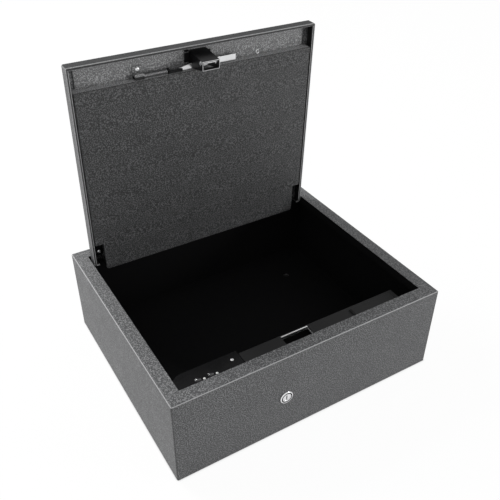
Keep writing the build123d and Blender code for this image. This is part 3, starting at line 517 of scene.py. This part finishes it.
def circuit_board():
    """Green board with paler tracks and bare copper-coloured pads."""
    finish = Finish("circuit_green")
    where = finish.place()
    green = (0.006, 0.055, 0.022, 1.0)
    track = (0.02, 0.13, 0.05, 1.0)
    copper = (0.55, 0.42, 0.2, 1.0)
    tracks = finish.output("ShaderNodeTexBrick", inputs={
        "Vector": where, "Scale": 260.0, "Mortar Size": 0.06, "Color1": BLACK, "Color2": BLACK,
        "Mortar": WHITE})
    pads = finish.output("ShaderNodeTexVoronoi", inputs={"Vector": where, "Scale": 420.0}, name="Distance")
    base = finish.mix(tracks, green, track)
    tone = finish.mix(1.0 - finish.ramp(pads, 0.12, 0.16), base, copper)
    return finish.material(finish.surface(Base_Color=tone, Roughness=0.38))


def cell_wrap():
    """Plain dark battery wrap with bare metal ends."""
    finish = Finish("cell_wrap")
    low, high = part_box("battery_cells")
    end = 0.0018
    wrapped = finish.band(finish.axes()[0], low.x + end, high.x - end, soft=0.00005)
    tone = finish.mix(wrapped, (0.6, 0.6, 0.6, 1.0), (0.02, 0.02, 0.024, 1.0))
    return finish.material(finish.surface(Base_Color=tone, Roughness=0.3, Metallic=1.0 - wrapped))


def sensor_glass():
    """Dark polished window with the faint grid of the sensor under it."""
    finish = Finish("sensor_glass")
    grid = finish.output("ShaderNodeTexChecker", inputs={
        "Vector": finish.place(), "Scale": 2000.0, "Color1": (0.006, 0.009, 0.015, 1.0),
        "Color2": (0.012, 0.017, 0.026, 1.0)})
    return finish.material(finish.surface(Base_Color=grid, Roughness=0.08, Coat_Weight=0.6))


def lamp_white():
    """Milky lens."""
    finish = Finish("lamp_white")
    cloud = finish.noise(finish.place(), 0.0006, 2.0)
    tone = finish.mix(cloud, (0.80, 0.80, 0.78, 1.0), (0.92, 0.92, 0.90, 1.0))
    return finish.material(finish.surface(Base_Color=tone, Roughness=0.22, Coat_Weight=0.4))


MATERIALS = {}


def make_materials(scene):
    """One material for each of the record's slots, and the coats of single pieces."""
    coat = scene.safe_coat
    metals = scene.safe_metal
    MATERIALS.update({
        "sandtex": lid_coat(coat),
        "sandtex_box": box_coat(coat),
        "sandtex_plate": plate_coat(coat),
        "anchor_coat": anchor_coat(coat),
        "striker_paint": striker_paint(),
        "panel_paint": panel_paint(coat),
        "black_steel": painted("black_steel", (0.004, 0.004, 0.0044), 0.40, 0.0008, 0.00003, specular=0.16),
        "black_plastic": painted("black_plastic", (0.010, 0.010, 0.0105), 0.55, 0.0006, 0.00006,
                                 specular=0.25),
        "gloss_black": painted("gloss_black", (0.003, 0.003, 0.0034), 0.14, 0.002, 0.00001, specular=0.25),
        "button_black": painted("button_black", (0.011, 0.011, 0.012), 0.16, 0.001, 0.00001, coat=0.5),
        "lamp_white": lamp_white(),
        "zinc": metal("zinc", metals.zinc, metals.brush, 0.24, (0.06, 1.0, 1.0)),
        "steel": metal("steel", metals.steel, metals.brush, 0.34),
        "chrome": metal("chrome", metals.chrome, metals.brush, 0.05, (1.0, 1.0, 1.0), 0.000004),
        "circuit_green": circuit_board(),
        "cell_wrap": cell_wrap(),
        "sensor_glass": sensor_glass(),
    })


# Mesh helpers


def turned(profile, steps=32, closed=False):
    """Spins a profile of (radius, height) points about Z."""
    mesh = bmesh.new()
    ring = [mesh.verts.new((radius, 0.0, height)) for radius, height in profile]
    pairs = list(zip(ring, ring[1:]))
    if closed:
        pairs.append((ring[-1], ring[0]))
    edges = [mesh.edges.new(pair) for pair in pairs]
    bmesh.ops.spin(mesh, geom=ring + edges, cent=(0, 0, 0), axis=(0, 0, 1), angle=math.tau, steps=steps,
                   use_merge=True)
    return mesh


def dome(radius, base, rise, start=0.0, steps=8):
    """Profile of a dome from a radius near its middle out to its rim."""
    first = math.asin(min(1.0, start / radius))
    angles = [first + (math.pi / 2 - first) * step / steps for step in range(steps + 1)]
    return [(radius * math.sin(angle), base + rise * math.cos(angle)) for angle in angles]


def pull_to_polygon(mesh, radius, sides):
    """Moves a ring of points onto a regular polygon of that corner radius."""
    slice_angle = math.tau / sides
    for vertex in mesh.verts:
        reach = math.hypot(vertex.co.x, vertex.co.y)
        if abs(reach - radius) < MERGE:
            turn = math.atan2(vertex.co.y, vertex.co.x) % slice_angle - slice_angle / 2
            shrink = math.cos(slice_angle / 2) / math.cos(turn)
            vertex.co.x *= shrink
            vertex.co.y *= shrink


def round_head(radius, height, rise, socket, depth, sides=6):
    """Screw head with a rounded top and a socket of that many sides."""
    chamfer = 0.0001
    lip = height - 0.00015
    floor = height - depth
    profile = [(0.0, floor), (socket, floor), (socket, lip)]
    profile += dome(radius, height - rise, rise, socket + chamfer)
    profile += [(radius, 0.0), (0.0, 0.0)]
    mesh = turned(profile, 36)
    bmesh.ops.remove_doubles(mesh, verts=mesh.verts, dist=MERGE / 10)
    pull_to_polygon(mesh, socket, sides)
    return mesh


def finish_piece(name, mesh, place, body, slot, replaced=(), smooth=35.0, material=None):
    """Makes the object of a bmesh, moves its mesh to its place and lets it ride on a body."""
    bmesh.ops.remove_doubles(mesh, verts=mesh.verts, dist=MERGE)
    bmesh.ops.recalc_face_normals(mesh, faces=mesh.faces)
    bmesh.ops.transform(mesh, matrix=place, verts=mesh.verts)
    data = bpy.data.meshes.new(name)
    mesh.to_mesh(data)
    mesh.free()
    data.shade_smooth()
    data.set_sharp_from_angle(angle=math.radians(smooth))
    data.materials.append(MATERIALS[material or slot])
    piece = bpy.data.objects.new(name, data)
    bpy.context.scene.collection.objects.link(piece)
    if body:
        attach(piece, body)
    if replaced:
        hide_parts(*replaced)
    return piece


def rounded_copy(node, slot, width, material=None):
    """Copy of a CAD node with its sharp edges rounded, which stands for the node."""
    flat = math.radians(0.5)
    sharp = math.radians(40)
    mesh = bmesh.new()
    mesh.from_mesh(frame["nodes"][node].data)
    bmesh.ops.remove_doubles(mesh, verts=mesh.verts, dist=MERGE)
    bmesh.ops.dissolve_limit(mesh, angle_limit=flat, verts=mesh.verts, edges=mesh.edges)
    edges = [edge for edge in mesh.edges if edge.is_manifold and edge.calc_face_angle() > sharp]
    bmesh.ops.bevel(mesh, geom=edges, offset=width, offset_type="OFFSET", affect="EDGES", segments=2,
                    profile=0.5, material=-1, clamp_overlap=True)
    body = next(name for name, nodes in BODIES.items() if node in nodes)
    piece = finish_piece(node + "_rounded", mesh, Matrix.Identity(4), body, slot, (node,), 50.0, material)
    weighted = piece.modifiers.new("weighted_normals", "WEIGHTED_NORMAL")
    weighted.weight = 100
    weighted.keep_sharp = True


# Operators


class SAFE_OT_stage(bpy.types.Operator):
    """Floor, soft light and camera"""
    bl_idname = "safe.stage"
    bl_label = "Stage"

    def execute(self, context):
        settings = context.scene.safe_stage
        self.sky(context.scene, settings)
        self.floor(settings)
        for name, (width, place) in LAMPS.items():
            self.lamp(name + "_light", getattr(settings, name), width, place)
        self.camera(context.scene, settings)
        context.scene.view_settings.view_transform = "Standard"
        return {"FINISHED"}

    def seen(self, finish):
        """1 for rays that see the backdrop from the camera or in gloss and glass."""
        path = finish.node("ShaderNodeLightPath")
        camera = Value(finish, path.outputs["Is Camera Ray"])
        gloss = Value(finish, path.outputs["Is Glossy Ray"])
        glass = Value(finish, path.outputs["Is Transmission Ray"])
        return finish.ramp(camera + gloss + glass, 0.0, 1.0)

    def sky(self, scene, settings):
        finish = Finish("soft_light", "worlds")
        strength = settings.sky + (1.0 - settings.sky) * self.seen(finish)
        shader = finish.output("ShaderNodeBackground", inputs={"Color": WHITE, "Strength": strength})
        finish.node("ShaderNodeOutputWorld", inputs={"Surface": shader})
        scene.world = finish.owner

    def floor(self, settings):
        finish = Finish("floor")
        tone = (settings.floor_tone,) * 3 + (1.0,)
        shade = (0.03, 0.03, 0.03, 1.0)
        white = finish.output("ShaderNodeEmission", inputs={"Color": WHITE, "Strength": 1.0})
        x, y = finish.axes()[:2]
        under = finish.area(x, y, SHELL_LOW, SHELL_HIGH, soft=0.002)
        matt = finish.surface(Base_Color=finish.mix(under, tone, shade), Roughness=1.0,
                              Specular_IOR_Level=0.0)
        share = settings.floor_glow * self.seen(finish) * (1.0 - under)
        shader = finish.output("ShaderNodeMixShader", inputs={0: share, 1: matt, 2: white})
        mesh = bmesh.new()
        bmesh.ops.create_grid(mesh, x_segments=1, y_segments=1, size=settings.floor_size / 2)
        data = bpy.data.meshes.new("floor")
        mesh.to_mesh(data)
        mesh.free()
        data.materials.append(finish.material(shader))
        floor = bpy.data.objects.new("floor", data)
        bpy.context.scene.collection.objects.link(floor)

    def lamp(self, name, power, width, place):
        data = bpy.data.lights.new(name, "AREA")
        data.energy = power
        data.size = width
        lamp = bpy.data.objects.new(name, data)
        lamp.location = place
        lamp.rotation_euler = (LAMP_TARGET - Vector(place)).to_track_quat("-Z", "Y").to_euler()
        bpy.context.scene.collection.objects.link(lamp)

    def camera(self, scene, settings):
        data = bpy.data.cameras.new("camera")
        data.lens = settings.lens
        data.sensor_width = 36.0
        data.clip_start = 0.01
        camera = bpy.data.objects.new("camera", data)
        camera.location = settings.camera_place
        camera.rotation_euler = settings.camera_turn
        scene.collection.objects.link(camera)
        scene.camera = camera


class SAFE_OT_finishes(bpy.types.Operator):
    """Procedural materials for the slots, given to every CAD node"""
    bl_idname = "safe.finishes"
    bl_label = "Finishes"

    def execute(self, context):
        make_materials(context.scene)
        for name, node in frame["nodes"].items():
            finish = "sandtex_box" if name == "box_shell" else RECORD_SLOTS[name]
            node.data.materials.clear()
            node.data.materials.append(MATERIALS[finish])
        return {"FINISHED"}


class SAFE_OT_edges(bpy.types.Operator):
    """Rounded edges of the sheet-metal and moulded parts"""
    bl_idname = "safe.edges"
    bl_label = "Rounded edges"

    def execute(self, context):
        edges = context.scene.safe_edges
        for node in ("lock_cover", "battery_door"):
            rounded_copy(node, "black_plastic", edges.moulded)
        rounded_copy("control_panel", "gloss_black", edges.moulded)
        rounded_copy("lid_inner_panel", "panel_paint", edges.folded)
        rounded_copy("latch_mounting_plate", "sandtex", edges.folded, "sandtex_plate")
        rounded_copy("spring_anchor", "black_steel", edges.punched, "anchor_coat")
        rounded_copy("strike_bracket", "black_steel", edges.punched, "striker_paint")
        for node in ("spring_link", "hinge_box_leaves", "hinge_lid_leaves"):
            rounded_copy(node, "black_steel", edges.punched)
        for node in ("keeper_bar", "catch_plate"):
            rounded_copy(node, "zinc", edges.punched)
        return {"FINISHED"}


class SAFE_OT_lock(bpy.types.Operator):
    """Bezel, dark ring and threaded barrel of the key lock"""
    bl_idname = "safe.lock"
    bl_label = "Key lock"

    bore = 0.00455
    barrel = 0.007
    plain_barrel = 0.0019
    groove_depth = 0.0012
    groove_outer = 0.0069
    groove_inner = 0.0054
    sides = 64

    def execute(self, context):
        settings = context.scene.safe_lock
        low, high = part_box("lock_housing")
        centre = Vector(((low.x + high.x) / 2, SHELL_LOW.y, (low.z + high.z) / 2))
        place = Matrix.Translation(centre) @ Matrix.Rotation(math.pi / 2, 4, "X")
        proud = SHELL_LOW.y - low.y
        back = SHELL_LOW.y - high.y
        floor = proud - self.groove_depth
        profile = self.thread(back, settings)
        profile += [(self.barrel, 0.0)]
        profile += self.bezel((high.x - low.x) / 2, proud, settings.face_round)
        profile += [(self.groove_outer, proud), (self.groove_outer, floor), (self.groove_inner, floor),
                    (self.groove_inner, proud), (self.bore, proud)]
        finish_piece("lock_bezel", turned(profile, self.sides, closed=True), place, "box", "chrome",
                     ("lock_housing",))
        top = proud - settings.ring_depth
        ring = [(settings.ring_inner, floor), (settings.ring_outer, floor),
                (settings.ring_outer, top), (settings.ring_inner, top)]
        finish_piece("lock_dark_ring", turned(ring, self.sides, closed=True), place, "box", "black_plastic")
        return {"FINISHED"}

    def thread(self, back, settings):
        """Profile of the barrel from its rear end to the plain length behind the bezel."""
        pitch = settings.thread_pitch
        root = self.barrel - settings.thread_depth
        run_out = 0.0001
        turns = int((-back - self.plain_barrel - run_out) / pitch)
        profile = [(self.bore, back), (root, back)]
        for turn in range(turns):
            height = back + pitch * (turn + 0.5)
            profile += [(self.barrel, height), (root, height + pitch / 2)]
        return profile + [(self.barrel, -self.plain_barrel)]

    def bezel(self, radius, proud, rounding):
        """Profile of the bezel's outer side, with its front edge rounded."""
        steps = 5
        profile = [(radius, 0.0), (radius, proud - rounding)]
        for step in range(1, steps + 1):
            angle = math.pi / 2 * step / steps
            profile.append((radius - rounding * (1 - math.cos(angle)),
                            proud - rounding * (1 - math.sin(angle))))
        return profile


class SAFE_OT_controls(bpy.types.Operator):
    """Domed buttons, milky lamps and the control panel's screw"""
    bl_idname = "safe.controls"
    bl_label = "Buttons and lamps"

    def execute(self, context):
        settings = context.scene.safe_controls
        panel_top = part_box("control_panel")[1].z
        for side in ("left", "right"):
            self.button(side, panel_top, settings)
        low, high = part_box("status_lamps")
        middle = (low.x + high.x) / 2
        self.lamp("status_lamp_left", *extent("status_lamps", high=middle), settings)
        self.lamp("status_lamp_right", *extent("status_lamps", low=middle), settings)
        self.panel_screw(context.scene.safe_fasteners, panel_top)
        return {"FINISHED"}

    def button(self, side, panel_top, settings):
        node = "button_" + side
        low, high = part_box(node)
        centre = ((low.x + high.x) / 2, (low.y + high.y) / 2, low.z)
        stem = 0.0016
        flange_width = 0.0009
        flange_thickness = 0.0008
        flange_drop = 0.0024
        rim_above_panel = 0.0002
        chamfer = 0.0001
        flange = (high.x - low.x) / 2
        radius = flange - flange_width
        flange_low = panel_top - flange_drop - low.z
        flange_high = flange_low + flange_thickness
        rim = panel_top - low.z + rim_above_panel
        profile = dome(radius - settings.button_collar, rim, high.z - low.z - rim, steps=12)
        profile += [(radius - chamfer, rim), (radius, rim - chamfer), (radius, flange_high),
                    (flange, flange_high), (flange, flange_low), (stem, flange_low), (stem, 0.0), (0.0, 0.0)]
        finish_piece(node + "_cap", turned(profile, 48), Matrix.Translation(centre), side + "_button",
                     "button_black", (node,), 50.0)

    def lamp(self, name, low, high, settings):
        centre = ((low.x + high.x) / 2, (low.y + high.y) / 2, low.z)
        radius = (high.x - low.x) / 2
        base = high.z - low.z - settings.lamp_dome
        profile = dome(radius, base, settings.lamp_dome) + [(radius, 0.0), (0.0, 0.0)]
        finish_piece(name, turned(profile), Matrix.Translation(centre), "box", "lamp_white",
                     ("status_lamps",), 50.0)

    def panel_screw(self, settings, panel_top):
        mesh = round_head(settings.panel_screw, height=0.0006, rise=0.0005, socket=0.0007, depth=0.0005,
                          sides=4)
        place = Matrix.Translation((settings.panel_screw_x, settings.panel_screw_y, panel_top))
        finish_piece("panel_screw", mesh, place, "box", "zinc")


class SAFE_OT_fasteners(bpy.types.Operator):
    """Screws and rivets on the lid"""
    bl_idname = "safe.fasteners"
    bl_label = "Screws and rivets"

    def execute(self, context):
        settings = context.scene.safe_fasteners
        place = lid_place()
        low, high = extent("lid_screws", place)
        middle = (low.x + high.x) / 2
        flat_rise = 0.0010
        round_rise = 0.0026
        self.screw("anchor_screw", extent("lid_screws", place, high=middle), place, "zinc", flat_rise,
                   settings)
        self.screw("side_screw", extent("lid_screws", place, low=middle), place, "black_steel", round_rise,
                   settings)
        for name, side in (("left", -1), ("right", 1)):
            bounds = extent("hinge_rivets", place, *sorted((0.0, side * FAR)))
            self.rivet("hinge_rivet_" + name, bounds, place)
        self.ring_rivet(place, settings)
        return {"FINISHED"}

    def head_place(self, bounds, place):
        """Place of a head whose foot is on the surface nearer the skin, and its radius and height."""
        low, high = bounds
        centre = Vector(((low.x + high.x) / 2, (low.y + high.y) / 2, low.z))
        return place @ Matrix.Translation(centre), (high.x - low.x) / 2, high.z - low.z

    def screw(self, name, bounds, place, slot, rise, settings):
        where, radius, height = self.head_place(bounds, place)
        depth = min(settings.socket_depth, 0.8 * height)
        mesh = round_head(radius, height, min(rise, height), settings.socket, depth)
        finish_piece(name, mesh, where, "lid", slot, ("lid_screws",))

    def rivet(self, name, bounds, place):
        """Domed rivet with the round mark of the setting tool in its middle."""
        where, radius, height = self.head_place(bounds, place)
        mark = [(0.0, 0.55 * height), (0.36 * radius, 0.6 * height), (0.46 * radius, height)]
        profile = mark + dome(radius, 0.0, height, 0.55 * radius) + [(0.0, 0.0)]
        finish_piece(name, turned(profile), where, "lid", "zinc", ("hinge_rivets",), 50.0)

    def ring_rivet(self, place, settings):
        """Tubular rivet on the mounting plate, beside the inner panel's edge."""
        panel_front = extent("lid_inner_panel", place)[1].y
        plate_face = extent("latch_mounting_plate", place)[1].z
        radius = settings.ring_rivet
        bore = 0.55 * radius
        height = 0.0009
        profile = [(bore, 0.0), (bore, 0.6 * height), ((radius + bore) / 2, height), (radius, 0.5 * height),
                   (radius, 0.0)]
        where = place @ Matrix.Translation((settings.ring_rivet_x, panel_front + 1.08 * radius, plate_face))
        finish_piece("panel_ring_rivet", turned(profile, closed=True), where, "lid", "zinc", smooth=50.0)


class SAFE_OT_spring(bpy.types.Operator):
    """Wound tension spring between its anchor and the keeper bar's link"""
    bl_idname = "safe.spring"
    bl_label = "Keeper spring"

    def execute(self, context):
        settings = context.scene.safe_spring
        place = lid_place()
        low, high = extent("bar_spring", place)
        radius = (high.y - low.y) / 2 - settings.wire
        centre = Vector((low.x, (low.y + high.y) / 2, (low.z + high.z) / 2))
        wire_sides = 10
        steps = 28 * settings.turns
        step_length = (high.x - low.x) / steps
        mesh = bmesh.new()
        start = Matrix.Translation((radius, 0.0, 0.0)) @ Matrix.Rotation(math.pi / 2, 4, "X")
        circle = bmesh.ops.create_circle(mesh, cap_ends=False, radius=settings.wire, segments=wire_sides,
                                         matrix=start)
        section = circle["verts"] + list({edge for vertex in circle["verts"] for edge in vertex.link_edges})
        bmesh.ops.spin(mesh, geom=section, cent=(0, 0, 0), axis=(0, 0, 1), dvec=(0, 0, step_length),
                       angle=math.tau * settings.turns, steps=steps, use_merge=False, use_duplicate=False)
        bmesh.ops.holes_fill(mesh, edges=mesh.edges, sides=wire_sides)
        where = place @ Matrix.Translation(centre) @ Matrix.Rotation(math.pi / 2, 4, "Y")
        piece = finish_piece("keeper_spring", mesh, where, None, "steel", ("bar_spring",), 60.0)
        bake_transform(piece)
        return {"FINISHED"}


OPERATORS = (SAFE_OT_stage, SAFE_OT_finishes, SAFE_OT_edges, SAFE_OT_lock, SAFE_OT_controls,
             SAFE_OT_fasteners, SAFE_OT_spring)


class SAFE_PT_panel(bpy.types.Panel):
    """Lists the steps that dress the safe"""
    bl_idname = "SAFE_PT_panel"
    bl_label = "Drawer safe"
    bl_space_type = "VIEW_3D"
    bl_region_type = "UI"
    bl_category = "Drawer safe"

    def draw(self, context):
        for operator in OPERATORS:
            self.layout.operator(operator.bl_idname)
        for key, group in SETTINGS.items():
            box = self.layout.box()
            box.label(text=group.__doc__)
            for name in group.__annotations__:
                box.prop(getattr(context.scene, key), name)


def register():
    for group in SETTINGS.values():
        bpy.utils.register_class(group)
    for key, group in SETTINGS.items():
        setattr(bpy.types.Scene, key, bpy.props.PointerProperty(type=group))
    for operator in OPERATORS:
        bpy.utils.register_class(operator)
    bpy.utils.register_class(SAFE_PT_panel)


def unregister():
    bpy.utils.unregister_class(SAFE_PT_panel)
    for operator in reversed(OPERATORS):
        bpy.utils.unregister_class(operator)
    for key, group in reversed(list(SETTINGS.items())):
        delattr(bpy.types.Scene, key)
        bpy.utils.unregister_class(group)


def main():
    """Registers the classes and dresses the safe."""
    register()
    bpy.ops.safe.stage()
    bpy.ops.safe.finishes()
    bpy.ops.safe.edges()
    bpy.ops.safe.lock()
    bpy.ops.safe.controls()
    bpy.ops.safe.fasteners()
    bpy.ops.safe.spring()


if __name__ == "__main__":
    main()
